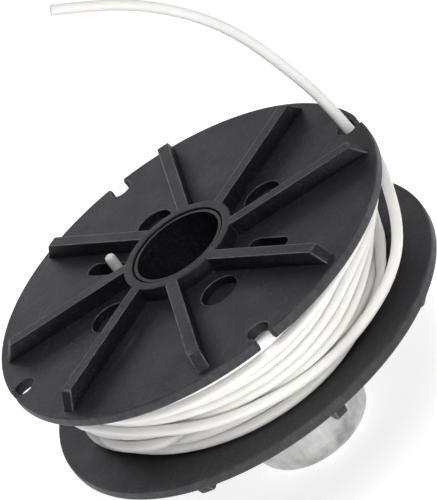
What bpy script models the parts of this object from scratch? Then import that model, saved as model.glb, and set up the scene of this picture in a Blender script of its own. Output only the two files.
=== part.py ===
"""Line spool of a grass trimmer's bump-feed head, with its steel bump cap and its cutting line.

The spool's axis is Z. The cap's flat bottom lies on z = 0 and the ribbed upper flange is on top.
Ribs, notches and holes are placed by their angle about Z, from +X towards +Y.
"""
import math

import bmesh
import bpy
from mathutils import Matrix, Vector

MM = 0.001
GAP = 0.3 * MM              # air left between pieces that touch on the real spool

# Flanges and the drum between them
FLANGE_R = 46.0 * MM
FLANGE_T = 2.5 * MM
FLANGE_EDGE = 0.35 * MM     # small chamfer round a flange's edges
WINDING_ROOM = 19.5 * MM    # clear height between the flanges
DRUM_R = 30.3 * MM
DRUM_WALL = 1.8 * MM
DRUM_FLOOR = 1.8 * MM

# Ribs stand on the outer faces of both flanges, eight on each, like the vanes of a pinwheel:
# each rib's centre line passes RIB_OFFSET beside the spool's axis.
RIB_COUNT = 8
RIB_H = 3.5 * MM
LOWER_RIB_H = 4.3 * MM
RIB_W = 2.8 * MM
RIB_OFFSET = -3.7 * MM
RIB_TOP_END = 41.4 * MM     # where the rib's crest ends
RIB_FOOT_END = 44.0 * MM    # where its sloping end meets the flange
RIB_START = 12.0 * MM
LOWER_RIB_START = 14.5 * MM
LOWER_RIB_TURN = 22.5       # degrees between the upper and the lower ribs

# Hub
HUB_R = 13.1 * MM
HUB_BORE_R = 10.9 * MM
LOWER_COLLAR_R = 16.0 * MM

# Keyhole notches in the upper rim, which hold the line's ends, and the holes in line with them
NOTCH_ANGLE = 57.6          # degrees, then every 90
NOTCH_CENTRE_R = 43.0 * MM
NOTCH_HOLE_R = 2.45 * MM
NOTCH_THROAT = 3.4 * MM
POST_HOLE_CENTRE_R = 20.3 * MM
POST_HOLE_R = 4.2 * MM
POST_DEPTH = 1.7 * MM       # how far a post's end lies below the flange's face

# Slots beside two opposite ribs: the line's inner end is pulled up through one
SLOT_START = 17.3 * MM
SLOT_END = 27.8 * MM
SLOT_SIDE = 2.2 * MM        # the slot's centre line, beside the axis
SLOT_W = 3.4 * MM

# Stem: a tube closed at the bottom, which runs through the hub and carries the bump cap
STEM_R = 10.6 * MM
STEM_BORE_R = 9.9 * MM
STEM_RECESS = 0.3 * MM      # the stem's top lies this much below the hub's
NECK_R = 12.5 * MM
NECK_CHAMFER = 1.4 * MM
STEM_FLOOR_Z = 3.8 * MM
STEM_FLOOR_T = 2.4 * MM

# Bump cap: a pressed steel cup
CAP_R = 13.8 * MM
CAP_WALL = 1.0 * MM
CAP_CORNER = 4.9 * MM
CAP_H = 15.0 * MM
CAP_TO_FLANGE = 28.9 * MM   # cap's bottom to the lower flange
DIMPLE_RIM_R = 6.4 * MM
DIMPLE_R = 5.2 * MM
DIMPLE_DEPTH = 1.4 * MM
CAP_HOLE_R = 2.9 * MM

# Rivet, bush and washer that hold the cap and let it turn
BUSH_R = 2.6 * MM
BUSH_BORE_R = 1.9 * MM
BUSH_FLANGE_R = 5.0 * MM
BUSH_FLANGE_T = 0.8 * MM
RIVET_R = 1.6 * MM
RIVET_HEAD_R = 4.3 * MM
RIVET_HEAD_T = 0.8 * MM
RIVET_END_R = 3.0 * MM
RIVET_END_T = 1.0 * MM
WASHER_R = 5.0 * MM
WASHER_T = 0.8 * MM

# Cutting line
LINE_D = 2.4 * MM
WINDING_BOTTOM_R = 37.0 * MM
WINDING_TOP_R = 41.5 * MM

STEPS = 72                  # facets round a large turned piece
SMALL_STEPS = 32            # facets round a small one

# Heights
LOWER_Z = CAP_TO_FLANGE
LOWER_TOP_Z = LOWER_Z + FLANGE_T
UPPER_Z = LOWER_TOP_Z + WINDING_ROOM
UPPER_TOP_Z = UPPER_Z + FLANGE_T
HUB_TOP_Z = UPPER_TOP_Z + RIB_H

# The loose outer turn leaves the winding, rises round the spool and goes up through a notch:
# distance from the axis in mm, angle in degrees, height above the upper flange's face in mm.
LOOSE_TURN = (
    (38.7, -101, -18.9), (39.7, -92, -18.4), (41.0, -82.5, -17.5), (42.0, -75, -16.3),
    (42.6, -69, -15.0), (42.8, -63, -13.6), (42.9, -57, -12.0), (43.1, -51.5, -10.2),
    (43.6, -46, -8.2), (44.0, -41, -6.5), (44.0, -37.4, -5.3), (43.7, -35.5, -4.4),
    (43.3, -34.1, -3.2), (43.1, -33.3, -2.0), (43.0, -32.7, -0.8),
)
# The free end springs up and over the flange: x, y and height above the flange's face in mm.
FREE_END = (
    (36.9, -21.8, 2.4), (37.6, -20.4, 5.1), (38.5, -17.9, 9.6), (39.0, -13.9, 16.5),
    (39.1, -9.9, 23.1), (38.3, -6.0, 29.0), (36.5, -2.2, 34.2), (34.0, 1.4, 38.8),
    (31.0, 5.0, 43.0), (27.3, 8.5, 46.7), (23.3, 12.0, 50.1), (20.6, 14.2, 52.3),
)
# The inner end, from its tip above its slot down into the drum: x, y and height as above.
INNER_END = (
    (-2.2, 19.0, 3.7), (-2.2, 19.0, 1.0), (-2.2, 19.0, -1.5), (-2.3, 19.1, -3.6), (-2.9, 19.7, -6.2),
    (-4.3, 21.0, -8.6), (-6.6, 23.2, -10.2), (-9.2, 25.6, -10.7), (-11.8, 27.4, -10.9), (-14.6, 27.7, -11.4),
)
LINE_STEP = 4               # points of the smooth curve on each stretch, of which every second is used


def clear_scene():
    for obj in list(bpy.data.objects):
        bpy.data.objects.remove(obj, do_unlink=True)


def make_collection(name):
    collection = bpy.data.collections.new(name)
    bpy.context.scene.collection.children.link(collection)
    return collection


def make_material(name, colour, roughness, metallic=0.0):
    material = bpy.data.materials.new(name)
    material.use_nodes = True
    shader = material.node_tree.nodes["Principled BSDF"]
    shader.inputs["Base Color"].default_value = (*colour, 1.0)
    shader.inputs["Roughness"].default_value = roughness
    shader.inputs["Metallic"].default_value = metallic
    material.diffuse_color = (*colour, 1.0)
    return material


def black_nylon():
    return make_material("black_nylon", (0.035, 0.034, 0.037), 0.5)


def bush_polymer():
    return make_material("bush_polymer", (0.62, 0.58, 0.48), 0.45)


def cap_steel():
    return make_material("cap_steel", (0.56, 0.56, 0.55), 0.38, 1.0)


def rivet_steel():
    return make_material("rivet_steel", (0.5, 0.5, 0.52), 0.3, 1.0)


def line_nylon():
    return make_material("line_nylon", (0.86, 0.84, 0.81), 0.4)


def turn(angle_deg):
    return Matrix.Rotation(math.radians(angle_deg), 4, "Z")


def polar(radius, angle_deg, z=0.0):
    angle = math.radians(angle_deg)
    return Vector((radius * math.cos(angle), radius * math.sin(angle), z))


def arc(centre_r, centre_z, radius, start_deg, end_deg, steps):
    """Points of a profile's round corner, from one angle to another."""
    points = []
    for i in range(steps + 1):
        angle = math.radians(start_deg + (end_deg - start_deg) * i / steps)
        points.append((centre_r + radius * math.cos(angle), centre_z + radius * math.sin(angle)))
    return points


def link(name, data, collection, material=None):
    obj = bpy.data.objects.new(name, data)
    collection.objects.link(obj)
    if material:
        data.materials.append(material)
    return obj


def as_mesh(obj):
    """Put an object's evaluated shape in its own mesh, with loose caps welded."""
    graph = bpy.context.evaluated_depsgraph_get()
    mesh = bpy.data.meshes.new_from_object(obj.evaluated_get(graph))
    mesh.name = obj.name
    bm = bmesh.new()
    bm.from_mesh(mesh)
    bmesh.ops.remove_doubles(bm, verts=bm.verts, dist=0.002 * MM)
    bmesh.ops.recalc_face_normals(bm, faces=bm.faces)
    bm.to_mesh(mesh)
    bm.free()
    return mesh


def replace_by_mesh(obj, collection):
    """Swap a curve or a modified object for a plain mesh object of the same name."""
    mesh = as_mesh(obj)
    name = obj.name
    place = obj.matrix_world.copy()
    bpy.data.objects.remove(obj, do_unlink=True)
    made = link(name, mesh, collection)
    made.name = name
    made.matrix_world = place
    return made


def shade_round(obj, angle_deg=32):
    obj.data.shade_smooth()
    obj.data.set_sharp_from_angle(angle=math.radians(angle_deg))


def turned(name, profile, collection, material=None, steps=STEPS, closed=True):
    """Turn a profile of (radius, height) points about Z; it runs down the outer side first.

    A closed profile makes a ring. An open one starts and ends on the axis.
    """
    mesh = bpy.data.meshes.new(name)
    verts = [(radius, 0.0, z) for radius, z in profile]
    edges = [(i, i + 1) for i in range(len(verts) - 1)]
    if closed:
        edges.append((len(verts) - 1, 0))
    mesh.from_pydata(verts, edges, [])
    obj = link(name, mesh, collection, material)
    screw = obj.modifiers.new("Screw", "SCREW")
    screw.axis = "Z"
    screw.steps = steps
    screw.render_steps = steps
    screw.use_merge_vertices = True
    screw.merge_threshold = 0.00001
    bpy.context.view_layer.update()
    obj = replace_by_mesh(obj, collection)
    shade_round(obj)
    return obj


def cylinder(name, radius, low_z, high_z, collection, steps=SMALL_STEPS):
    bm = bmesh.new()
    middle = Matrix.Translation((0, 0, (low_z + high_z) / 2))
    bmesh.ops.create_cone(bm, cap_ends=True, segments=steps, radius1=radius, radius2=radius,
                          depth=high_z - low_z, matrix=middle)
    mesh = bpy.data.meshes.new(name)
    bm.to_mesh(mesh)
    bm.free()
    return link(name, mesh, collection)


def plate(name, outline, thickness, collection):
    """A flat closed outline in XY, extruded to the thickness, its middle at z = 0."""
    curve = bpy.data.curves.new(name, "CURVE")
    curve.dimensions = "2D"
    curve.fill_mode = "BOTH"
    curve.extrude = thickness / 2
    spline = curve.splines.new("POLY")
    spline.points.add(len(outline) - 1)
    for point, (x, y) in zip(spline.points, outline):
        point.co = (x, y, 0.0, 1.0)
    spline.use_cyclic_u = True
    obj = link(name, curve, collection)
    bpy.context.view_layer.update()
    return replace_by_mesh(obj, collection)


def boolean(obj, tool, operation):
    modifier = obj.modifiers.new(f"{operation.title()} {tool.name}", "BOOLEAN")
    modifier.operation = operation
    modifier.object = tool
    modifier.solver = "EXACT"


def finish_body(obj, collection):
    """Apply an object's Boolean modifiers and shade it."""
    bpy.context.view_layer.update()
    material = obj.data.materials[0]
    obj = replace_by_mesh(obj, collection)
    obj.data.materials.clear()
    obj.data.materials.append(material)
    shade_round(obj)
    return obj


def hide_cutters(cutters):
    for obj in cutters.objects:
        obj.hide_render = True
        obj.display_type = "WIRE"


def flange_ring(low_z, high_z, bore_r):
    """Closed profile of a flat ring with chamfered rim, as a list that more points can join."""
    edge = FLANGE_EDGE
    return [(FLANGE_R - edge, high_z), (FLANGE_R, high_z - edge), (FLANGE_R, low_z + edge),
            (FLANGE_R - edge, low_z), (bore_r, low_z)]


def rib_tools(cutters, base_z, up, start, angle_deg):
    """Eight ribs as union tools. up is +1 on the upper flange and -1 under the lower one."""
    root = FLANGE_T / 2
    crest = RIB_H if up > 0 else LOWER_RIB_H
    if up > 0:
        outline = [(start, -root), (RIB_FOOT_END, -root), (RIB_FOOT_END, 0.0), (RIB_TOP_END, crest),
                   (start, crest)]
    else:
        corner = 1.6 * MM
        outline = [(start, -root), (RIB_FOOT_END - corner / 2, -root), (RIB_FOOT_END - corner / 2, 0.0)]
        outline += arc(RIB_FOOT_END - 2 * corner, crest - corner, corner, 25, 90, 4)
        outline += [(start, crest)]
    made = []
    for i in range(RIB_COUNT):
        rib = plate(f"rib_{'upper' if up > 0 else 'lower'}_{i}", outline, RIB_W, cutters)
        stand = Matrix.Rotation(math.radians(90), 4, "X")
        if up < 0:
            stand = Matrix.Rotation(math.radians(-90), 4, "X")
        beside = Matrix.Translation((0, RIB_OFFSET, base_z))
        rib.matrix_world = turn(angle_deg + i * 360 / RIB_COUNT) @ beside @ stand
        made.append(rib)
    return made


def notch_tools(cutters):
    """Keyhole cutters: a round hole inside the rim and a narrower throat out through it."""
    low_z = UPPER_Z - FLANGE_T
    high_z = UPPER_TOP_Z + FLANGE_T
    lip = 0.9 * MM
    half = NOTCH_THROAT / 2
    outline = []
    for i in range(25):
        angle = math.radians(40 + 280 * i / 24)
        outline.append((NOTCH_CENTRE_R + NOTCH_HOLE_R * math.cos(angle), NOTCH_HOLE_R * math.sin(angle)))
    outer = FLANGE_R + 2 * MM
    rim = FLANGE_R - lip
    outline += [(rim - 0.3 * MM, -half), (rim, -half - 0.1 * MM), (FLANGE_R - 0.1 * MM, -half - lip / 2),
                (outer, -half - lip / 2), (outer, half + lip / 2), (FLANGE_R - 0.1 * MM, half + lip / 2),
                (rim, half + 0.1 * MM), (rim - 0.3 * MM, half)]
    made = []
    for i in range(4):
        cutter = plate(f"notch_{i}", outline, high_z - low_z, cutters)
        middle = Matrix.Translation((0, 0, (high_z + low_z) / 2))
        cutter.matrix_world = turn(NOTCH_ANGLE + 90 * i) @ middle
        made.append(cutter)
    return made


def post_hole_tools(cutters):
    made = []
    for i in range(4):
        cutter = cylinder(f"post_hole_{i}", POST_HOLE_R, UPPER_Z - FLANGE_T, UPPER_TOP_Z + FLANGE_T, cutters)
        cutter.location = polar(POST_HOLE_CENTRE_R, NOTCH_ANGLE + 90 * i)
        made.append(cutter)
    return made


def slot_outline():
    """Rounded slot along X, beside the axis."""
    half = SLOT_W / 2
    points = []
    for centre, start in ((SLOT_END - half, -90), (SLOT_START + half, 90)):
        for i in range(9):
            angle = math.radians(start + 180 * i / 8)
            points.append((centre + half * math.cos(angle), SLOT_SIDE + half * math.sin(angle)))
    return points


def slot_tools(cutters):
    made = []
    for i, angle in enumerate((90, 270)):
        cutter = plate(f"slot_{i}", slot_outline(), 3 * FLANGE_T, cutters)
        cutter.matrix_world = turn(angle) @ Matrix.Translation((0, 0, UPPER_Z + FLANGE_T / 2))
        made.append(cutter)
    return made


def make_upper_flange(parts, cutters, nylon):
    profile = [(HUB_R, HUB_TOP_Z), (HUB_R, UPPER_TOP_Z)]
    profile += flange_ring(UPPER_Z, UPPER_TOP_Z, HUB_BORE_R)
    profile += [(HUB_BORE_R, HUB_TOP_Z)]
    flange = turned("upper_flange", profile, parts, nylon)
    for tool in rib_tools(cutters, UPPER_TOP_Z, 1, RIB_START, 0.0):
        boolean(flange, tool, "UNION")
    for tool in notch_tools(cutters) + post_hole_tools(cutters) + slot_tools(cutters):
        boolean(flange, tool, "DIFFERENCE")
    return finish_body(flange, parts)


def make_lower_flange(parts, cutters, nylon):
    profile = flange_ring(LOWER_Z, LOWER_TOP_Z, LOWER_COLLAR_R)
    profile += [(LOWER_COLLAR_R, LOWER_Z - LOWER_RIB_H), (NECK_R + GAP, LOWER_Z - LOWER_RIB_H),
                (NECK_R + GAP, LOWER_Z), (HUB_BORE_R, LOWER_Z), (HUB_BORE_R, LOWER_TOP_Z)]
    flange = turned("lower_flange", profile, parts, nylon)
    for tool in rib_tools(cutters, LOWER_Z, -1, LOWER_RIB_START, LOWER_RIB_TURN):
        boolean(flange, tool, "UNION")
    return finish_body(flange, parts)


def make_drum(parts, cutters, nylon):
    """The winding drum: an open tub whose four posts reach into the upper flange's holes."""
    low = LOWER_TOP_Z + GAP
    high = UPPER_Z - GAP
    inner = DRUM_R - DRUM_WALL
    floor = low + DRUM_FLOOR
    profile = [(DRUM_R, high), (DRUM_R, low), (HUB_BORE_R, low), (HUB_BORE_R, floor), (inner, floor),
               (inner, high)]
    drum = turned("drum", profile, parts, nylon)
    for i in range(4):
        post = cylinder(f"post_{i}", POST_HOLE_R - GAP, floor - DRUM_FLOOR / 2, UPPER_TOP_Z - POST_DEPTH,
                        cutters)
        post.location = polar(POST_HOLE_CENTRE_R, NOTCH_ANGLE + 90 * i)
        boolean(drum, post, "UNION")
    hole = cylinder("line_hole", LINE_D, -DRUM_WALL * 3.5, DRUM_WALL * 3.5, cutters, steps=20)
    place, direction = line_hole()
    aim = direction.to_track_quat("Z", "Y").to_matrix().to_4x4()
    hole.matrix_world = Matrix.Translation(place) @ aim
    boolean(drum, hole, "DIFFERENCE")
    return finish_body(drum, parts)


def inner_line_points():
    """The inner end's route, from the wall's outer face to its tip."""
    places = [Vector((x * MM, y * MM, UPPER_TOP_Z + z * MM)) for x, y, z in INNER_END]
    smooth = smooth_route(places, LINE_STEP)
    return [place for place in smooth if place.xy.length < DRUM_R - LINE_D * 0.4]


def line_hole():
    """Where the line's inner end passes slantwise through the drum's wall, and which way."""
    points = inner_line_points()
    place = min(points, key=lambda point: abs(point.xy.length - DRUM_R + DRUM_WALL / 2))
    k = points.index(place)
    return place, (points[k - 1] - points[k]).normalized()


def make_stem(parts, nylon):
    top = HUB_TOP_Z - STEM_RECESS
    shoulder = LOWER_Z - GAP
    floor_top = STEM_FLOOR_Z + STEM_FLOOR_T
    hole = RIVET_R + GAP
    profile = [(STEM_R, top), (STEM_R, shoulder), (NECK_R, shoulder), (NECK_R, STEM_FLOOR_Z + NECK_CHAMFER),
               (NECK_R - NECK_CHAMFER, STEM_FLOOR_Z), (hole, STEM_FLOOR_Z), (hole, floor_top),
               (STEM_BORE_R, floor_top), (STEM_BORE_R, top)]
    return turned("stem", profile, parts, nylon, steps=STEPS)


def make_cap(parts, steel):
    """Pressed cup with a round corner, and a dimple in its floor for the rivet's head."""
    inner_r = CAP_R - CAP_WALL
    inner_corner = CAP_CORNER - CAP_WALL
    corner_r = CAP_R - CAP_CORNER
    profile = [(CAP_R, CAP_H)]
    profile += arc(corner_r, CAP_CORNER, CAP_CORNER, 0, -90, 6)
    profile += [(DIMPLE_RIM_R, 0.0), (DIMPLE_R, DIMPLE_DEPTH), (CAP_HOLE_R, DIMPLE_DEPTH),
                (CAP_HOLE_R, DIMPLE_DEPTH + CAP_WALL), (DIMPLE_R + CAP_WALL / 2, DIMPLE_DEPTH + CAP_WALL),
                (DIMPLE_RIM_R + CAP_WALL / 2, CAP_WALL)]
    profile += arc(corner_r, CAP_CORNER, inner_corner, -90, 0, 5)
    profile += [(inner_r, CAP_H)]
    return turned("bump_cap", profile, parts, steel, steps=56)


def make_bush(parts, polymer):
    """Flanged bearing bush, pressed in the cap's floor: it runs on the rivet."""
    low = DIMPLE_DEPTH
    seat = DIMPLE_DEPTH + CAP_WALL + GAP
    top = seat + BUSH_FLANGE_T
    profile = [(BUSH_FLANGE_R, top), (BUSH_FLANGE_R, seat), (BUSH_R, seat), (BUSH_R, low),
               (BUSH_BORE_R, low), (BUSH_BORE_R, top)]
    return turned("cap_bush", profile, parts, polymer, steps=SMALL_STEPS)


def make_rivet(parts, steel):
    """Rivet: a low head in the cap's dimple, a shank, and an upset end inside the stem."""
    head_top = DIMPLE_DEPTH - GAP
    head_low = head_top - RIVET_HEAD_T
    end_low = STEM_FLOOR_Z + STEM_FLOOR_T + GAP + WASHER_T + GAP
    end_top = end_low + RIVET_END_T
    profile = [(0.0, end_top), (RIVET_END_R * 0.6, end_top - RIVET_END_T * 0.12),
               (RIVET_END_R, end_low + RIVET_END_T * 0.35), (RIVET_END_R, end_low), (RIVET_R, end_low),
               (RIVET_R, head_top), (RIVET_HEAD_R, head_top), (RIVET_HEAD_R, head_top - RIVET_HEAD_T * 0.4),
               (RIVET_HEAD_R * 0.6, head_low), (0.0, head_low)]
    return turned("cap_rivet", profile, parts, steel, steps=SMALL_STEPS, closed=False)


def make_washer(parts, steel):
    low = STEM_FLOOR_Z + STEM_FLOOR_T + GAP
    profile = [(WASHER_R, low + WASHER_T), (WASHER_R, low), (RIVET_R + GAP, low),
               (RIVET_R + GAP, low + WASHER_T)]
    return turned("rivet_washer", profile, parts, steel, steps=SMALL_STEPS)


def make_winding(parts, nylon):
    """The outer shape of the wound line: a turned ring that swells towards the upper flange."""
    low = LOWER_TOP_Z + GAP
    high = UPPER_Z - GAP
    room = high - low
    round_off = LINE_D / 2
    inner = DRUM_R + GAP
    profile = [(WINDING_TOP_R - round_off, high), (WINDING_TOP_R, high - round_off),
               (WINDING_TOP_R - 0.4 * MM, low + 0.62 * room), (WINDING_BOTTOM_R + 0.6 * MM, low + 0.3 * room),
               (WINDING_BOTTOM_R, low + round_off), (WINDING_BOTTOM_R - round_off, low),
               (inner, low), (inner, high)]
    return turned("line_winding", profile, parts, nylon, steps=48)


def smooth_route(points, count):
    """Centripetal Catmull-Rom curve through the points, with count points on each stretch."""
    ends = [2 * points[0] - points[1]] + points + [2 * points[-1] - points[-2]]
    route = []
    for a, b, c, d in zip(ends, ends[1:], ends[2:], ends[3:]):
        t1 = math.sqrt((b - a).length)
        t2 = t1 + math.sqrt((c - b).length)
        t3 = t2 + math.sqrt((d - c).length)
        for i in range(count):
            t = t1 + (t2 - t1) * i / count
            ab = a.lerp(b, t / t1)
            bc = b.lerp(c, (t - t1) / (t2 - t1))
            cd = c.lerp(d, (t - t2) / (t3 - t2))
            abc = ab.lerp(bc, t / t2)
            bcd = bc.lerp(cd, (t - t1) / (t3 - t1))
            route.append(abc.lerp(bcd, (t - t1) / (t2 - t1)))
    route.append(points[-1])
    return route


def line_tube(name, route, parts, material):
    curve = bpy.data.curves.new(name, "CURVE")
    curve.dimensions = "3D"
    curve.bevel_depth = LINE_D / 2
    curve.bevel_resolution = 2
    curve.use_fill_caps = True
    spline = curve.splines.new("POLY")
    spline.points.add(len(route) - 1)
    for point, place in zip(spline.points, route):
        point.co = (*place, 1.0)
    obj = link(name, curve, parts, material)
    bpy.context.view_layer.update()
    obj = replace_by_mesh(obj, parts)
    obj.data.shade_smooth()
    obj.data.set_sharp_from_angle(angle=math.radians(60))
    return obj


def free_line_route():
    points = [polar(r * MM, angle, UPPER_TOP_Z + z * MM) for r, angle, z in LOOSE_TURN]
    points += [Vector((x * MM, y * MM, UPPER_TOP_Z + z * MM)) for x, y, z in FREE_END]
    return smooth_route(points, LINE_STEP)[::2]


def make_free_line(parts, nylon):
    """The loose outer turn and the free end, in one tube."""
    return line_tube("line_free_end", free_line_route(), parts, nylon)


def make_inner_line(parts, nylon):
    """The line's inner end: in through the drum's wall, round a bend and up through its slot."""
    return line_tube("line_inner_end", inner_line_points()[::2], parts, nylon)


def main():
    clear_scene()
    parts = make_collection("trimmer_line_spool")
    cutters = make_collection("cutters")
    nylon = black_nylon()
    steel = cap_steel()
    fixing = rivet_steel()
    line = line_nylon()
    make_upper_flange(parts, cutters, nylon)
    make_lower_flange(parts, cutters, nylon)
    make_drum(parts, cutters, nylon)
    make_stem(parts, nylon)
    make_cap(parts, steel)
    make_bush(parts, bush_polymer())
    make_rivet(parts, fixing)
    make_washer(parts, fixing)
    make_winding(parts, line)
    make_free_line(parts, line)
    make_inner_line(parts, line)
    hide_cutters(cutters)


main()
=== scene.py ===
"""The visual model of the trimmer line spool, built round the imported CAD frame."""
import math

import bmesh
import bpy
import numpy as np
from mathutils import Matrix, Vector


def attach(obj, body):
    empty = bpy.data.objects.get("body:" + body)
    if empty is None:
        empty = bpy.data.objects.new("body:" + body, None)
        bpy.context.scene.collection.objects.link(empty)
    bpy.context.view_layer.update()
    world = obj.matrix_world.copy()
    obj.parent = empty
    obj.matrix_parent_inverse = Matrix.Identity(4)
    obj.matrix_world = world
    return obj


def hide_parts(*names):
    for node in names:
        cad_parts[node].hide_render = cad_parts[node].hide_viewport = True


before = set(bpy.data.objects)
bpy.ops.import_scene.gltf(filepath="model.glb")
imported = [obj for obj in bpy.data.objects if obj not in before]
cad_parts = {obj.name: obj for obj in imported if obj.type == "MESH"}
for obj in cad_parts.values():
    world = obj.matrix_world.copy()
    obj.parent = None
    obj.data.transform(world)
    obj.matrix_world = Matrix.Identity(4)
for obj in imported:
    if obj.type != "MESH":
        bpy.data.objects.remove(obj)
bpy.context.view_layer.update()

MM = 0.001

# Camera: where it stands round the spool, where it looks and how it is rolled
CAMERA_AZIMUTH = -126.15
CAMERA_ELEVATION = 28.31
CAMERA_ROLL = 36.97
CAMERA_DISTANCE = 841.1 * MM
CAMERA_LENS = 291.9
CAMERA_AIM = Vector((5.0, -3.65, 49.96)) * MM

# Flanges, with the CAD's sizes; radii are from the axis and angles from +x
RIB_COUNT = 8
RIB_H = 3.5 * MM
LOWER_RIB_H = 4.3 * MM
RIB_W = 2.8 * MM
RIB_OFFSET = -3.7 * MM      # the ribs stand beside the axis
RIB_TOP_END = 41.4 * MM
RIB_FOOT_END = 44.0 * MM
RIB_START = 12.0 * MM
LOWER_RIB_START = 14.5 * MM
LOWER_RIB_TURN = 22.5       # the lower ribs stand between the upper ones
FLANGE_R = 46.0 * MM
FLANGE_T = 2.5 * MM
HUB_R = 13.1 * MM
HUB_BORE_R = 10.9 * MM
LOWER_COLLAR_R = 16.0 * MM
NECK_R = 12.5 * MM
NECK_GAP = 0.3 * MM
NOTCH_ANGLE = 57.6
NOTCH_CENTRE_R = 43.0 * MM
NOTCH_HOLE_R = 2.45 * MM
NOTCH_THROAT = 3.4 * MM
NOTCH_LIP = 1.1 * MM
POST_HOLE_CENTRE_R = 20.3 * MM
POST_HOLE_R = 4.2 * MM
SLOT_START = 17.3 * MM
SLOT_END = 27.8 * MM
SLOT_SIDE = 2.2 * MM
SLOT_W = 3.4 * MM
RIM_EDGE = 0.3 * MM         # size of the turned edges' rounding
RIB_EDGE = 0.28 * MM        # rounding of the ribs' edges
HOLE_EDGE = 0.2 * MM        # rounding round the holes, slots and notches
STEPS = 144                 # faces round a turned piece
FLOOR_HALF = 6.0            # half the floor's width

# Heights of the two plates and of the hub's top
LOWER_Z = 28.9 * MM
LOWER_TOP_Z = LOWER_Z + FLANGE_T
UPPER_Z = LOWER_TOP_Z + 19.5 * MM
UPPER_TOP_Z = UPPER_Z + FLANGE_T
HUB_TOP_Z = UPPER_TOP_Z + RIB_H

# Line
LINE_D = 2.4 * MM
DRUM_R = 30.3 * MM
PLANES = 36                 # points of the line in each turn
LAYER_PITCH = 2.1 * MM
LAYER_RISES = (0.0, 0.3 * MM, 3.8 * MM)      # how far each layer's lowest turn is above the flange
RELAX_STEPS = 400
OVERLAP_SHARE = 0.4         # share of an overlap that each turn gives way in a step
SMOOTH_SHARE = 0.2          # share of a kink that is evened out in a step
PULL_IN_FRONT = 0.2         # how firmly the outer turns are held to their places where they show
PULL_BEHIND = 0.03
PULL_INNER = 0.02
FRONT_FROM, FRONT_TO = 165, 320     # degrees round the axis that show in the main view

# The ten outer turns, followed from the inside outwards. They were pulled loose: in front they run
# low and swing out, and on the right they climb under the upper flange. In front, the rows and the
# loose turn's were set from measurements of the photo. Behind, the rows are made up.
# Each row is a distance from the axis in mm, an angle in degrees and a height in mm above the
# upper flange's face. A turn goes from -180 to 180 degrees.
OUTER_TURNS = (
    ((35.2, -180, -3.9), (35.3, -90, -3.9), (35.8, -30, -4.6), (36.4, 20, -7.4), (36.4, 70, -11.0),
     (35.8, 120, -15.0), (35.4, 150, -17.2)),
    ((35.2, -180, -17.9), (35.8, -160, -18.1), (36.6, -140, -18.3), (37.1, -125, -18.5), (37.1, -110, -18.4),
     (36.8, -95, -18.0), (36.4, -75, -17.0), (36.2, -50, -15.6), (36.0, 0, -15.0), (36.0, 60, -15.0),
     (35.8, 120, -15.4)),
    ((35.8, -180, -15.6), (36.0, -160, -15.8), (36.6, -145, -16.0), (37.6, -126, -16.3), (38.4, -110, -16.0),
     (38.7, -102, -15.9), (38.7, -95, -15.0), (38.6, -88, -13.8), (38.4, -80, -12.4), (38.2, -70, -11.0),
     (38.0, -60, -9.8), (37.8, -50, -9.0), (37.8, -20, -9.2), (38.0, 40, -10.0), (37.4, 100, -11.8),
     (36.4, 150, -13.0)),
    ((36.4, -180, -13.1), (36.8, -160, -13.3), (37.6, -145, -13.8), (38.6, -126, -14.2), (39.2, -110, -13.6),
     (39.5, -102, -13.3), (39.6, -95, -11.8), (39.8, -88, -9.9), (40.0, -78, -8.3), (39.6, -20, -8.0),
     (39.4, 40, -8.4), (38.6, 100, -9.4), (37.2, 150, -10.4)),
    ((37.0, -180, -10.5), (37.6, -160, -10.7), (38.4, -145, -11.3), (39.4, -126, -11.9), (39.9, -111, -11.3),
     (40.1, -102, -10.2), (40.4, -92, -7.9), (40.6, -86, -6.6), (41.2, -74, -6.0), (41.0, 0, -5.9),
     (40.4, 60, -6.2), (39.2, 110, -7.0), (38.0, 150, -7.8)),
    ((37.9, -180, -7.9), (38.5, -160, -8.1), (39.4, -145, -8.7), (40.2, -126, -9.4), (40.5, -113, -8.9),
     (40.5, -103, -7.5), (40.3, -94, -5.6), (40.1, -85, -4.3), (39.6, 0, -3.8), (39.4, 60, -3.8),
     (39.4, 110, -3.8), (39.6, 150, -3.8)),
    ((40.4, -180, -3.8), (41.4, -165, -3.8), (42.2, -150, -3.8), (42.5, -118, -3.8), (41.2, -98, -3.8),
     (40.2, -80, -3.7), (40.0, 0, -3.7), (40.0, 90, -3.7), (39.8, 150, -3.7)),
    ((40.2, -180, -5.0), (41.4, -168, -5.5), (42.4, -155, -6.0), (42.8, -138, -6.1), (42.8, -124, -6.0),
     (42.6, -112, -5.0), (42.5, -103, -4.2), (42.4, -90, -3.8), (41.6, -60, -3.8), (41.8, 0, -4.0),
     (41.0, 50, -8.0), (39.4, 90, -14.0), (38.2, 120, -18.2), (36.6, 145, -19.6), (35.9, 160, -19.4)),
    ((35.3, -180, -19.6), (35.6, -168, -19.9), (36.1, -158, -20.3), (36.8, -149, -20.6), (37.4, -141, -20.7),
     (37.9, -132, -20.7), (38.1, -122, -20.7), (37.8, -113, -20.7), (37.0, -105, -20.8), (36.2, -95, -20.2),
     (36.6, -82, -18.4), (37.3, -73.5, -17.3), (37.4, -68, -16.1), (37.5, -62, -14.5), (37.5, -56, -12.9),
     (37.5, -51, -11.4), (37.6, -43, -9.4), (38.6, -20, -9.2), (40.6, 20, -9.6), (41.0, 70, -10.6),
     (40.4, 110, -11.4), (38.4, 145, -10.8), (37.6, 165, -10.6)),
    ((37.6, -180, -10.9), (38.0, -170, -11.8), (38.5, -162, -12.8), (38.9, -155, -13.9), (39.2, -147, -15.0),
     (39.4, -138, -16.0), (39.4, -129, -16.8), (39.1, -115, -18.2)),
)
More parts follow.
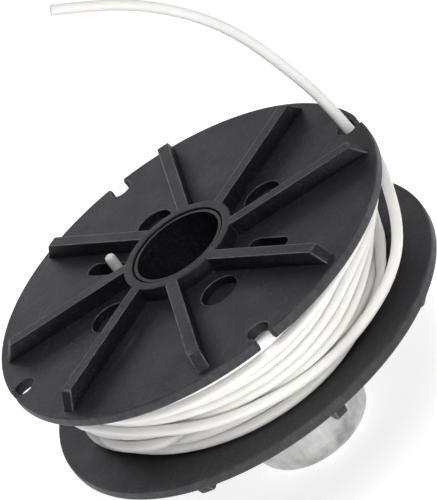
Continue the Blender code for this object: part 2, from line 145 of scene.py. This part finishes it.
LOOSE_TURN = (
    (38.7, -101, -18.9), (39.7, -92, -18.4), (41.0, -82.5, -17.5), (42.0, -75, -16.3),
    (42.6, -69, -15.0), (42.8, -63, -13.6), (42.9, -57, -12.0), (43.1, -51.5, -10.2),
    (43.6, -46, -8.2), (44.0, -41, -6.5), (44.0, -37.4, -5.3), (43.7, -35.5, -4.4),
    (43.3, -34.1, -3.2), (43.1, -33.3, -2.0), (43.0, -32.7, -0.8),
)
# The free end: x, y and the height as above. All of its points but the last are as a measuring
# script worked them out from the photo, not chosen by hand.
FREE_END = (
    (36.9, -21.8, 2.4), (37.6, -20.4, 5.1), (38.5, -17.9, 9.6), (39.0, -13.9, 16.5),
    (39.1, -9.9, 23.1), (38.3, -6.0, 29.0), (36.5, -2.2, 34.2), (34.0, 1.4, 38.8),
    (31.0, 5.0, 43.0), (27.3, 8.5, 46.7), (23.3, 12.0, 50.1), (20.6, 14.2, 52.3),
)
# The inner end, from its tip above its slot down into the drum: x, y and height as above.
INNER_END = (
    (-2.2, 19.0, 3.7), (-2.2, 19.0, 1.0), (-2.2, 19.0, -1.5), (-2.3, 19.1, -3.6), (-2.9, 19.7, -6.2),
    (-4.3, 21.0, -8.6), (-6.6, 23.2, -10.2), (-9.2, 25.6, -10.7), (-11.8, 27.4, -10.9), (-14.6, 27.7, -11.4),
)

# The inner end's tip is rounded: how far below it, and the line's width there as a share of its own.
TIP = ((0.0, 0.35), (0.08 * MM, 0.62), (0.25 * MM, 0.83), (0.55 * MM, 0.96), (0.9 * MM, 1.0))


def turn(angle_deg):
    return Matrix.Rotation(math.radians(angle_deg), 4, "Z")


def polar(radius, angle_deg, z=0.0):
    angle = math.radians(angle_deg)
    return Vector((radius * math.cos(angle), radius * math.sin(angle), z))


# --- Camera, floor and light -------------------------------------------------------------------

def make_camera():
    data = bpy.data.cameras.new("camera")
    data.lens = CAMERA_LENS
    data.sensor_width = 36.0
    camera = bpy.data.objects.new("camera", data)
    bpy.context.scene.collection.objects.link(camera)
    azimuth = math.radians(CAMERA_AZIMUTH)
    elevation = math.radians(CAMERA_ELEVATION)
    back = Vector((math.cos(azimuth) * math.cos(elevation), math.sin(azimuth) * math.cos(elevation),
                   math.sin(elevation)))
    level = (-back).to_track_quat("-Z", "Y").to_matrix().to_4x4()
    roll = Matrix.Rotation(math.radians(-CAMERA_ROLL), 4, "Z")
    camera.matrix_world = Matrix.Translation(CAMERA_AIM + back * CAMERA_DISTANCE) @ level @ roll
    bpy.context.scene.camera = camera


def area_light(name, place, aim, size, power, colour=(1, 1, 1)):
    data = bpy.data.lights.new(name, "AREA")
    data.shape = "RECTANGLE"
    data.size, data.size_y = size
    data.energy = power
    data.color = colour
    light = bpy.data.objects.new(name, data)
    bpy.context.scene.collection.objects.link(light)
    place = Vector(place)
    facing = (Vector(aim) - place).to_track_quat("-Z", "Y").to_matrix().to_4x4()
    light.matrix_world = Matrix.Translation(place) @ facing
    light.visible_camera = False


def make_stage():
    world = bpy.data.worlds.new("studio")
    bpy.context.scene.world = world
    world.use_nodes = True
    tree = world.node_tree
    background = tree.nodes["Background"]
    background.inputs["Strength"].default_value = 1.0
    direction = add_node(tree, "ShaderNodeTexCoord")
    along = add_node(tree, "ShaderNodeVectorMath", operation="DOT_PRODUCT")
    along.inputs[1].default_value = polar(0.9, CAMERA_AZIMUTH + 180, 0.45)
    tree.links.new(direction.outputs["Generated"], along.inputs[0])
    shade = ramp(tree, value_map(tree, along.outputs["Value"], -1, 1, 0, 1),
                 [(0.35, (0.02, 0.02, 0.022)), (0.70, (0.09, 0.088, 0.098)), (0.92, (0.26, 0.25, 0.285))])
    tree.links.new(shade, background.inputs["Color"])
    mesh = bpy.data.meshes.new("floor")
    half = FLOOR_HALF
    corners = [(-half, -half, 0), (half, -half, 0), (half, half, 0), (-half, half, 0)]
    mesh.from_pydata(corners, [], [(0, 1, 2, 3)])
    floor = bpy.data.objects.new("floor", mesh)
    bpy.context.scene.collection.objects.link(floor)
    material = bpy.data.materials.new("floor_white")
    material.use_nodes = True
    shader = material.node_tree.nodes["Principled BSDF"]
    shader.inputs["Base Color"].default_value = (0.6, 0.6, 0.6, 1)
    shader.inputs["Roughness"].default_value = 0.9
    shader.inputs["Specular IOR Level"].default_value = 0.1
    shader.inputs["Emission Color"].default_value = (1, 1, 1, 1)
    shader.inputs["Emission Strength"].default_value = 0.80
    mesh.materials.append(material)
    bpy.context.scene.view_settings.view_transform = "Standard"
    far = CAMERA_AZIMUTH + 180
    area_light("key", polar(0.34, far + 10, 0.180), (0, 0, 0.055), (0.26, 0.11), 0.19, (0.96, 0.93, 1.0))
    area_light("low_front", polar(0.40, CAMERA_AZIMUTH, 0.022), (0, 0, 0.022), (0.60, 0.040), 0.80,
               (1.0, 0.98, 0.95))
    area_light("front", polar(0.55, CAMERA_AZIMUTH + 20, 0.95), (0, 0, 0.05), (0.55, 0.55), 5.6,
               (1.0, 0.99, 0.97))
    area_light("floor_wash", (0.0, 0.0, 1.6), (0, 0, 0), (2.5, 2.5), 5.0)


# --- Materials ---------------------------------------------------------------------------------

def new_material(name):
    material = bpy.data.materials.new(name)
    material.use_nodes = True
    return material, material.node_tree, material.node_tree.nodes["Principled BSDF"]


def add_node(tree, kind, **values):
    node = tree.nodes.new(kind)
    for key, value in values.items():
        setattr(node, key, value)
    return node


def noise(tree, scale, detail=4.0, roughness=0.6, stretch=None):
    """Noise in the object's own space, in cycles per metre, stretched by a mapping if asked."""
    coordinates = add_node(tree, "ShaderNodeTexCoord")
    texture = add_node(tree, "ShaderNodeTexNoise")
    texture.inputs["Scale"].default_value = scale
    texture.inputs["Detail"].default_value = detail
    texture.inputs["Roughness"].default_value = roughness
    source = coordinates.outputs["Object"]
    if stretch:
        mapping = add_node(tree, "ShaderNodeMapping")
        mapping.inputs["Scale"].default_value = stretch
        tree.links.new(source, mapping.inputs["Vector"])
        source = mapping.outputs["Vector"]
    tree.links.new(source, texture.inputs["Vector"])
    return texture.outputs["Fac"]


def ramp(tree, source, stops):
    node = add_node(tree, "ShaderNodeValToRGB")
    elements = node.color_ramp.elements
    while len(elements) < len(stops):
        elements.new(0.5)
    for element, (place, colour) in zip(elements, stops):
        element.position = place
        element.color = (*colour, 1.0) if len(colour) == 3 else colour
    tree.links.new(source, node.inputs["Fac"])
    return node.outputs["Color"]


def value_map(tree, source, low, high, to_low, to_high):
    node = add_node(tree, "ShaderNodeMapRange")
    node.inputs["From Min"].default_value = low
    node.inputs["From Max"].default_value = high
    node.inputs["To Min"].default_value = to_low
    node.inputs["To Max"].default_value = to_high
    tree.links.new(source, node.inputs["Value"])
    return node.outputs["Result"]


def mix_colour(tree, factor, a, b):
    node = add_node(tree, "ShaderNodeMix", data_type="RGBA")
    tree.links.new(factor, node.inputs["Factor"])
    for socket, value in ((node.inputs[6], a), (node.inputs[7], b)):
        if isinstance(value, tuple):
            socket.default_value = (*value, 1.0)
        else:
            tree.links.new(value, socket)
    return node.outputs[2]


def bump(tree, shader, heights):
    """Chain bumps: each is (height, distance in metres, strength)."""
    previous = None
    for height, distance, strength in heights:
        node = add_node(tree, "ShaderNodeBump")
        node.inputs["Strength"].default_value = strength
        node.inputs["Distance"].default_value = distance
        tree.links.new(height, node.inputs["Height"])
        if previous:
            tree.links.new(previous, node.inputs["Normal"])
        previous = node.outputs["Normal"]
    tree.links.new(previous, shader.inputs["Normal"])


def black_nylon(name="moulded_black_nylon", painted_highlight=0.0):
    """Moulded black nylon: fine spark-eroded grain, paler scuffs and dust. A painted highlight can lighten
    it in mottled patches, for the rounded edges and the rims.
    """
    material, tree, shader = new_material(name)
    grain = noise(tree, 1700, 4, 0.7)
    mottle = noise(tree, 160, 5, 0.65)
    streaks = noise(tree, 220, 4, 0.7, (0.25, 3.0, 1.0))
    base = ramp(tree, mottle, [(0.3, (0.0085, 0.0078, 0.0115)), (0.7, (0.0135, 0.0125, 0.0165))])
    speckle = value_map(tree, grain, 0.52, 0.74, 0.0, 0.5)
    base = mix_colour(tree, speckle, base, (0.075, 0.073, 0.078))
    scuffs = value_map(tree, streaks, 0.60, 0.76, 0.0, 0.4)
    base = mix_colour(tree, scuffs, base, (0.085, 0.083, 0.086))
    # Painted highlight: a paler colour mixed in, in mottled patches, as strong as asked.
    if painted_highlight:
        highlight_patches = value_map(tree, noise(tree, 500, 4, 0.7), 0.35, 0.65, 0.2 * painted_highlight, painted_highlight)
        base = mix_colour(tree, highlight_patches, base, (0.22, 0.22, 0.23))
    tree.links.new(base, shader.inputs["Base Color"])
    tree.links.new(value_map(tree, mottle, 0.3, 0.7, 0.42, 0.56), shader.inputs["Roughness"])
    shader.inputs["Specular IOR Level"].default_value = 0.38
    bump(tree, shader, [(mottle, 0.0003, 0.06), (grain, 0.00022, 0.55)])
    return material


def line_nylon():
    """Pale milky monofilament, drawn, with faint lengthwise marks and a soft sheen."""
    material, tree, shader = new_material("pale_line_nylon")
    cloud = noise(tree, 60, 3, 0.5)
    fine = noise(tree, 900, 3, 0.55)
    base = ramp(tree, cloud, [(0.3, (0.87, 0.85, 0.81)), (0.7, (0.92, 0.90, 0.87))])
    tree.links.new(base, shader.inputs["Base Color"])
    tree.links.new(value_map(tree, fine, 0.3, 0.7, 0.34, 0.46), shader.inputs["Roughness"])
    shader.inputs["Subsurface Weight"].default_value = 0.9
    shader.inputs["Subsurface Radius"].default_value = (1.0, 0.95, 0.9)
    shader.inputs["Subsurface Scale"].default_value = 0.0025
    bump(tree, shader, [(fine, 0.00006, 0.25)])
    return material


def steel(name, colour, rough_low, rough_high, grain_scale):
    """Pressed steel: cloudy satin patches and fine streaks up its side."""
    material, tree, shader = new_material(name)
    fine = noise(tree, grain_scale, 4, 0.6)
    cloud = noise(tree, 130, 5, 0.65)
    streaks = noise(tree, 700, 4, 0.65, (1.0, 1.0, 0.22))
    dark = tuple(0.55 * c for c in colour)
    light = tuple(min(1.0, 1.2 * c) for c in colour)
    base = ramp(tree, cloud, [(0.32, dark), (0.52, colour), (0.68, light)])
    base = mix_colour(tree, value_map(tree, streaks, 0.45, 0.75, 0.0, 0.25), base, dark)
    tree.links.new(base, shader.inputs["Base Color"])
    shader.inputs["Metallic"].default_value = 1.0
    tree.links.new(value_map(tree, cloud, 0.3, 0.7, rough_low, rough_high), shader.inputs["Roughness"])
    bump(tree, shader, [(cloud, 0.0004, 0.15), (streaks, 0.00012, 0.2), (fine, 0.00008, 0.25)])
    return material


def bush_polymer():
    material, tree, shader = new_material("bearing_polymer")
    cloud = noise(tree, 300, 3, 0.5)
    base = ramp(tree, cloud, [(0.3, (0.55, 0.5, 0.4)), (0.7, (0.64, 0.6, 0.5))])
    tree.links.new(base, shader.inputs["Base Color"])
    tree.links.new(value_map(tree, cloud, 0.3, 0.7, 0.38, 0.5), shader.inputs["Roughness"])
    bump(tree, shader, [(cloud, 0.0001, 0.2)])
    return material


# --- Shapes ------------------------------------------------------------------------------------

def link(name, data):
    obj = bpy.data.objects.new(name, data)
    bpy.context.scene.collection.objects.link(obj)
    return obj


def bake(obj):
    """Replace an object by its evaluated mesh."""
    bpy.context.view_layer.update()
    graph = bpy.context.evaluated_depsgraph_get()
    mesh = bpy.data.meshes.new_from_object(obj.evaluated_get(graph))
    name = obj.name
    place = obj.matrix_world.copy()
    bpy.data.objects.remove(obj, do_unlink=True)
    bm = bmesh.new()
    bm.from_mesh(mesh)
    bmesh.ops.remove_doubles(bm, verts=bm.verts, dist=0.001 * MM)
    bmesh.ops.recalc_face_normals(bm, faces=bm.faces)
    bm.to_mesh(mesh)
    bm.free()
    made = link(name, mesh)
    made.matrix_world = place
    return made


def turned(name, profile):
    """Turn a closed outline of radius and height about the axis."""
    mesh = bpy.data.meshes.new(name)
    edges = [(i, i + 1) for i in range(len(profile) - 1)] + [(len(profile) - 1, 0)]
    mesh.from_pydata([(r, 0.0, z) for r, z in profile], edges, [])
    obj = link(name, mesh)
    screw = obj.modifiers.new("Screw", "SCREW")
    screw.steps = screw.render_steps = STEPS
    screw.use_merge_vertices = True
    screw.merge_threshold = 0.00001
    return bake(obj)


def plate(name, outline, thickness):
    """A flat outline in x and y, as thick as asked about z = 0."""
    curve = bpy.data.curves.new(name, "CURVE")
    curve.dimensions = "2D"
    curve.fill_mode = "BOTH"
    curve.extrude = thickness / 2
    spline = curve.splines.new("POLY")
    spline.points.add(len(outline) - 1)
    for point, (x, y) in zip(spline.points, outline):
        point.co = (x, y, 0.0, 1.0)
    spline.use_cyclic_u = True
    return bake(link(name, curve))


def rounded(obj, width, rims_only=False):
    """Round an object's sharp edges, or only those between its flat faces and its upright walls."""
    mesh = obj.data
    weights = mesh.attributes.new("bevel_weight_edge", "FLOAT", "EDGE")
    bm = bmesh.new()
    bm.from_mesh(mesh)
    for edge in bm.edges:
        angle = edge.calc_face_angle(0)
        rise = sorted(abs(face.normal.z) for face in edge.link_faces)
        rim = rise[0] < 0.2 and rise[-1] > 0.99
        weights.data[edge.index].value = float(rim if rims_only else angle > math.radians(30))
    bm.free()
    bevel = obj.modifiers.new("Bevel", "BEVEL")
    bevel.width = width
    bevel.segments = 2
    bevel.limit_method = "WEIGHT"
    bevel.use_clamp_overlap = False
    # The new rounded faces take the second material, nylon with a painted edge highlight.
    bevel.material = 1
    return bake(obj)


def combine(obj, tools, operation):
    for tool in tools:
        modifier = obj.modifiers.new(tool.name, "BOOLEAN")
        modifier.operation = operation
        modifier.object = tool
        modifier.solver = "EXACT"
    made = bake(obj)
    for tool in tools:
        bpy.data.objects.remove(tool, do_unlink=True)
    return made


def finish_piece(obj, materials, body, *nodes):
    """Give a piece its materials and smooth shading, and put it in place of the frame's nodes."""
    indices = [polygon.material_index for polygon in obj.data.polygons]
    obj.data.materials.clear()
    for material in materials:
        obj.data.materials.append(material)
    for polygon, index in zip(obj.data.polygons, indices):
        polygon.material_index = min(index, len(materials) - 1)
    obj.data.shade_smooth()
    obj.data.set_sharp_from_angle(angle=math.radians(40))
    weigh = obj.modifiers.new("Even normals", "WEIGHTED_NORMAL")
    weigh.mode = "FACE_AREA"
    weigh.weight = 100
    weigh.keep_sharp = True
    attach(obj, body)
    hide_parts(*nodes)


def arc(cx, cy, radius, start, end, steps):
    angles = [math.radians(start + (end - start) * i / steps) for i in range(steps + 1)]
    return [(cx + radius * math.cos(angle), cy + radius * math.sin(angle)) for angle in angles]


def notch_cutters():
    """Keyholes: a round hole, a narrower throat and a mouth that flares at the rim."""
    half = NOTCH_THROAT / 2
    rim = FLANGE_R - NOTCH_LIP
    outer = FLANGE_R + 2 * MM
    flare = [(rim, -half), (rim + 0.35 * MM, -half - 0.06 * MM), (rim + 0.7 * MM, -half - 0.25 * MM),
             (rim + 0.95 * MM, -half - 0.55 * MM), (FLANGE_R, -half - 1.0 * MM), (outer, -half - 1.0 * MM)]
    outline = arc(NOTCH_CENTRE_R, 0, NOTCH_HOLE_R, 42, 318, 30) + flare
    outline += [(x, -y) for x, y in reversed(flare)]
    made = []
    for i in range(4):
        cutter = plate(f"notch_{i}", outline, 4 * FLANGE_T)
        cutter.matrix_world = turn(NOTCH_ANGLE + 90 * i) @ Matrix.Translation((0, 0, UPPER_Z))
        made.append(cutter)
    return made


def hole_cutters():
    made = []
    for i in range(4):
        cutter = plate(f"hole_{i}", arc(0, 0, POST_HOLE_R, 0, 352.5, 47), 4 * FLANGE_T)
        cutter.matrix_world = Matrix.Translation(polar(POST_HOLE_CENTRE_R, NOTCH_ANGLE + 90 * i, UPPER_Z))
        made.append(cutter)
    return made


def slot_cutters():
    half = SLOT_W / 2
    outline = arc(SLOT_END - half, SLOT_SIDE, half, -90, 90, 12)
    outline += arc(SLOT_START + half, SLOT_SIDE, half, 90, 270, 12)
    made = []
    for angle in (90, 270):
        cutter = plate(f"slot_{angle}", outline, 4 * FLANGE_T)
        cutter.matrix_world = turn(angle) @ Matrix.Translation((0, 0, UPPER_Z))
        made.append(cutter)
    return made


def ribs(up, start, base_z, first_angle, materials):
    """Ribs that stand up (1) with a sloping outer end, or hang down (-1) with a rounded one."""
    sink = 0.9 * MM             # how far a rib's root lies in the plate
    crest = (RIB_H if up > 0 else LOWER_RIB_H) - 0.02 * MM
    if up > 0:
        slope = (RIB_FOOT_END - RIB_TOP_END) / RIB_H
        outline = [(start, -sink), (RIB_FOOT_END + slope * sink, -sink),
                   (RIB_FOOT_END - slope * crest, crest), (start, crest)]
    else:
        corner = 1.6 * MM
        end = RIB_FOOT_END - corner / 2
        outline = [(start, -sink), (end, -sink), (end - 0.2 * MM, crest - 1.6 * corner)]
        outline += arc(RIB_FOOT_END - 2 * corner, crest - corner, corner, 20, 90, 8)
        outline += [(start, crest)]
    made = []
    for i in range(RIB_COUNT):
        rib = plate(f"rib_{up}_{i}", outline, RIB_W)
        for material in materials:
            rib.data.materials.append(material)
        rib = rounded(rib, RIB_EDGE)
        stand = Matrix.Rotation(math.radians(90 * up), 4, "X")
        rib.matrix_world = turn(first_angle + 45 * i) @ Matrix.Translation((0, RIB_OFFSET, base_z)) @ stand
        made.append(rib)
    return made


def flange_rim(low_z, high_z):
    """Points down a flange's rounded rim."""
    e = RIM_EDGE
    return [(FLANGE_R - 2 * e, high_z), (FLANGE_R - 0.6 * e, high_z - 0.25 * e),
            (FLANGE_R - 0.15 * e, high_z - e), (FLANGE_R, high_z - 2 * e),
            (FLANGE_R, low_z + 2 * e), (FLANGE_R - 0.15 * e, low_z + e),
            (FLANGE_R - 0.6 * e, low_z + 0.25 * e), (FLANGE_R - 2 * e, low_z)]


def paint_rim_sheen(flange):
    """Give the faces round the rim the nylon with a painted sheen, a little paler than the rest."""
    for polygon in flange.data.polygons:
        if polygon.center.xy.length > FLANGE_R - 0.6 * MM:
            polygon.material_index = 2


def make_upper_flange(materials):
    e = RIM_EDGE
    profile = [(HUB_R - 1.6 * e, HUB_TOP_Z), (HUB_R - 0.5 * e, HUB_TOP_Z - 0.3 * e),
               (HUB_R, HUB_TOP_Z - 1.2 * e), (HUB_R, UPPER_TOP_Z + 0.5 * MM),
               (HUB_R + 0.15 * MM, UPPER_TOP_Z + 0.15 * MM), (HUB_R + 0.5 * MM, UPPER_TOP_Z)]
    profile += flange_rim(UPPER_Z, UPPER_TOP_Z)
    profile += [(HUB_BORE_R, UPPER_Z), (HUB_BORE_R, HUB_TOP_Z - 1.2 * e),
                (HUB_BORE_R + 0.4 * e, HUB_TOP_Z - 0.3 * e), (HUB_BORE_R + 1.2 * e, HUB_TOP_Z)]
    flange = turned("upper_disc", profile)
    for material in materials:
        flange.data.materials.append(material)
    paint_rim_sheen(flange)
    flange = combine(flange, notch_cutters() + hole_cutters() + slot_cutters(), "DIFFERENCE")
    flange = rounded(flange, HOLE_EDGE, rims_only=True)
    flange = combine(flange, ribs(1, RIB_START, UPPER_TOP_Z, 0.0, materials), "UNION")
    flange.name = "flange_upper"
    finish_piece(flange, materials, "spool", "upper_flange")


def make_lower_flange(materials):
    e = RIM_EDGE
    collar_low = LOWER_Z - LOWER_RIB_H
    profile = flange_rim(LOWER_Z, LOWER_TOP_Z)
    profile += [(LOWER_COLLAR_R + 0.4 * MM, LOWER_Z), (LOWER_COLLAR_R, LOWER_Z - 0.4 * MM),
                (LOWER_COLLAR_R, collar_low + e), (LOWER_COLLAR_R - e, collar_low),
                (NECK_R + NECK_GAP + e, collar_low), (NECK_R + NECK_GAP, collar_low + e),
                (NECK_R + NECK_GAP, LOWER_Z), (HUB_BORE_R, LOWER_Z), (HUB_BORE_R, LOWER_TOP_Z)]
    flange = turned("lower_disc", profile)
    for material in materials:
        flange.data.materials.append(material)
    paint_rim_sheen(flange)
    flange = combine(flange, ribs(-1, LOWER_RIB_START, LOWER_Z, LOWER_RIB_TURN, materials), "UNION")
    flange.name = "flange_lower"
    finish_piece(flange, materials, "spool", "lower_flange")


# --- The line ----------------------------------------------------------------------------------

def smooth_route(points, count):
    """Centripetal Catmull-Rom curve through the points, with count points on each stretch."""
    ends = [2 * points[0] - points[1]] + points + [2 * points[-1] - points[-2]]
    route = []
    for a, b, c, d in zip(ends, ends[1:], ends[2:], ends[3:]):
        t1 = math.sqrt((b - a).length)
        t2 = t1 + math.sqrt((c - b).length)
        t3 = t2 + math.sqrt((d - c).length)
        for i in range(count):
            t = t1 + (t2 - t1) * i / count
            ab = a.lerp(b, t / t1)
            bc = b.lerp(c, (t - t1) / (t2 - t1))
            cd = c.lerp(d, (t - t2) / (t3 - t2))
            abc, bcd = ab.lerp(bc, t / t2), bc.lerp(cd, (t - t1) / (t3 - t1))
            route.append(abc.lerp(bcd, (t - t1) / (t2 - t1)))
    route.append(points[-1])
    return route


def layer_turns():
    """Radius and height of each turn of the inner layers, wound up and down between the flanges."""
    low, high = LOWER_TOP_Z + LINE_D / 2, UPPER_Z - LINE_D / 2
    made = []
    for layer, rise in enumerate(LAYER_RISES):
        bottom = low + rise
        count = int((high - bottom) / (1.01 * LINE_D)) + 1
        heights = [bottom + (high - bottom) * i / max(1, count - 1) for i in range(count)]
        if layer % 2:
            heights.reverse()
        made += [(DRUM_R + LINE_D / 2 + layer * LAYER_PITCH, z) for z in heights]
    return made


def outer_knots():
    """The outer turns and the loose turn's start as rows of angle, radius and height, in metres."""
    rows = []
    for number, turn_knots in enumerate(OUTER_TURNS):
        rows += [(angle + 360 * (number + 1 - len(OUTER_TURNS)), r * MM, UPPER_TOP_Z + z * MM)
                 for r, angle, z in turn_knots]
    r, angle, z = LOOSE_TURN[0]
    rows.append((angle, r * MM, UPPER_TOP_Z + z * MM))
    return np.array(rows)


def wound_line():
    """Relax all turns in the planes through the axis for a set number of steps, pushing apart any two that
    lie in each other.
    """
    knots = outer_knots()
    end = knots[-1, 0]
    step = 360 / PLANES
    chosen_count = int((end - knots[0, 0]) / step)
    angles = end - step * np.arange(chosen_count, -1, -1)
    chosen = np.stack([np.interp(angles, knots[:, 0], knots[:, k]) for k in (1, 2)], axis=1)
    inner = np.array(layer_turns())
    count = len(inner)
    steps = np.arange(count * PLANES) / PLANES
    whole = steps.astype(int)
    eased = np.clip((steps % 1 - 0.75) / 0.25, 0, 1)
    blend = (eased * eased * (3 - 2 * eased))[:, None]
    radial = inner[whole] * (1 - blend) + inner[np.minimum(whole + 1, count - 1)] * blend
    target = np.concatenate([radial, chosen])
    first = angles[0] - count * 360
    length = len(target)
    all_angles = first + step * np.arange(length)
    azimuth = all_angles % 360
    in_front = (azimuth > FRONT_FROM) & (azimuth < FRONT_TO)
    pull = np.where(in_front, PULL_IN_FRONT, PULL_BEHIND)
    pull[:len(radial)] = PULL_INNER
    pull = pull[:, None]
    place = target.copy()
    rows = math.ceil(length / PLANES)
    low, high = LOWER_TOP_Z + LINE_D / 2, UPPER_Z - LINE_D / 2
    free = np.ones((length, 1))
    free[-2:] = 0
    for _ in range(RELAX_STEPS):
        padded = np.full((rows * PLANES, 2), 10.0) + np.arange(rows * PLANES)[:, None]
        padded[:length] = place
        grid = padded.reshape(rows, PLANES, 2)
        apart = grid[:, None] - grid[None]
        distance = np.sqrt((apart ** 2).sum(-1)) + np.eye(rows)[:, :, None]
        push = np.maximum(LINE_D - distance, 0) / distance
        shift = (push[..., None] * apart).sum(axis=1).reshape(-1, 2)[:length] * OVERLAP_SHARE
        smooth = np.zeros_like(place)
        smooth[1:-1] = (place[:-2] + place[2:]) / 2 - place[1:-1]
        place = place + (shift + SMOOTH_SHARE * smooth + pull * (target - place)) * free
        place[:, 0] = np.clip(place[:, 0], DRUM_R + LINE_D / 2, FLANGE_R - LINE_D * 0.6)
        place[:, 1] = np.clip(place[:, 1], low, high)
    return place, all_angles


def make_line(material):
    """One line from its inner end, through the winding and the loose turn, to its free end."""
    place, angles = wound_line()
    route = [Vector((x * MM, y * MM, UPPER_TOP_Z + z * MM)) for x, y, z in INNER_END]
    entry = math.degrees(math.atan2(INNER_END[-1][1], INNER_END[-1][0]))
    skip = next(i for i, a in enumerate(angles) if (a - entry) % 360 < 360 / PLANES) + 2
    route += [polar(r, a, z) for (r, z), a in zip(place[skip:], angles[skip:])]
    route += [polar(r * MM, a, UPPER_TOP_Z + z * MM) for r, a, z in LOOSE_TURN[1:]]
    route += [Vector((x * MM, y * MM, UPPER_TOP_Z + z * MM)) for x, y, z in FREE_END]
    smooth = smooth_route(route, 2)
    smooth = [smooth[0] - Vector((0, 0, down)) for down, _ in TIP] + smooth[1:]
    curve = bpy.data.curves.new("cutting_line", "CURVE")
    curve.dimensions = "3D"
    curve.bevel_depth = LINE_D / 2
    curve.bevel_resolution = 4
    curve.use_fill_caps = True
    spline = curve.splines.new("POLY")
    spline.points.add(len(smooth) - 1)
    for point, position in zip(spline.points, smooth):
        point.co = (*position, 1.0)
    for point, (_, width) in zip(spline.points, TIP):
        point.radius = width
    line = link("cutting_line", curve)
    curve.materials.append(material)
    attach(line, "spool")
    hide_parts("line_winding", "line_free_end", "line_inner_end")


def dress_cad_node(name, material):
    """Keep a node as the CAD has it, with a finished material."""
    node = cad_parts[name]
    node.data.materials.clear()
    node.data.materials.append(material)


make_camera()
make_stage()
nylon = black_nylon()
line_material = line_nylon()
cap_material = steel("satin_cap_steel", (0.55, 0.55, 0.54), 0.34, 0.44, 1500)
rivet_material = steel("plated_rivet_steel", (0.5, 0.5, 0.52), 0.25, 0.35, 2500)
make_line(line_material)
# Plain nylon, nylon with a painted edge highlight, and nylon with a painted sheen for the rims.
flange_nylon = [nylon, black_nylon("edge_highlight_black_nylon", 0.6), black_nylon("rim_sheen_black_nylon", 0.12)]
make_upper_flange(flange_nylon)
make_lower_flange(flange_nylon)
for cad_name in ("drum", "stem"):
    dress_cad_node(cad_name, nylon)
dress_cad_node("bump_cap", cap_material)
dress_cad_node("cap_bush", bush_polymer())
for cad_name in ("cap_rivet", "rivet_washer"):
    dress_cad_node(cad_name, rivet_material)
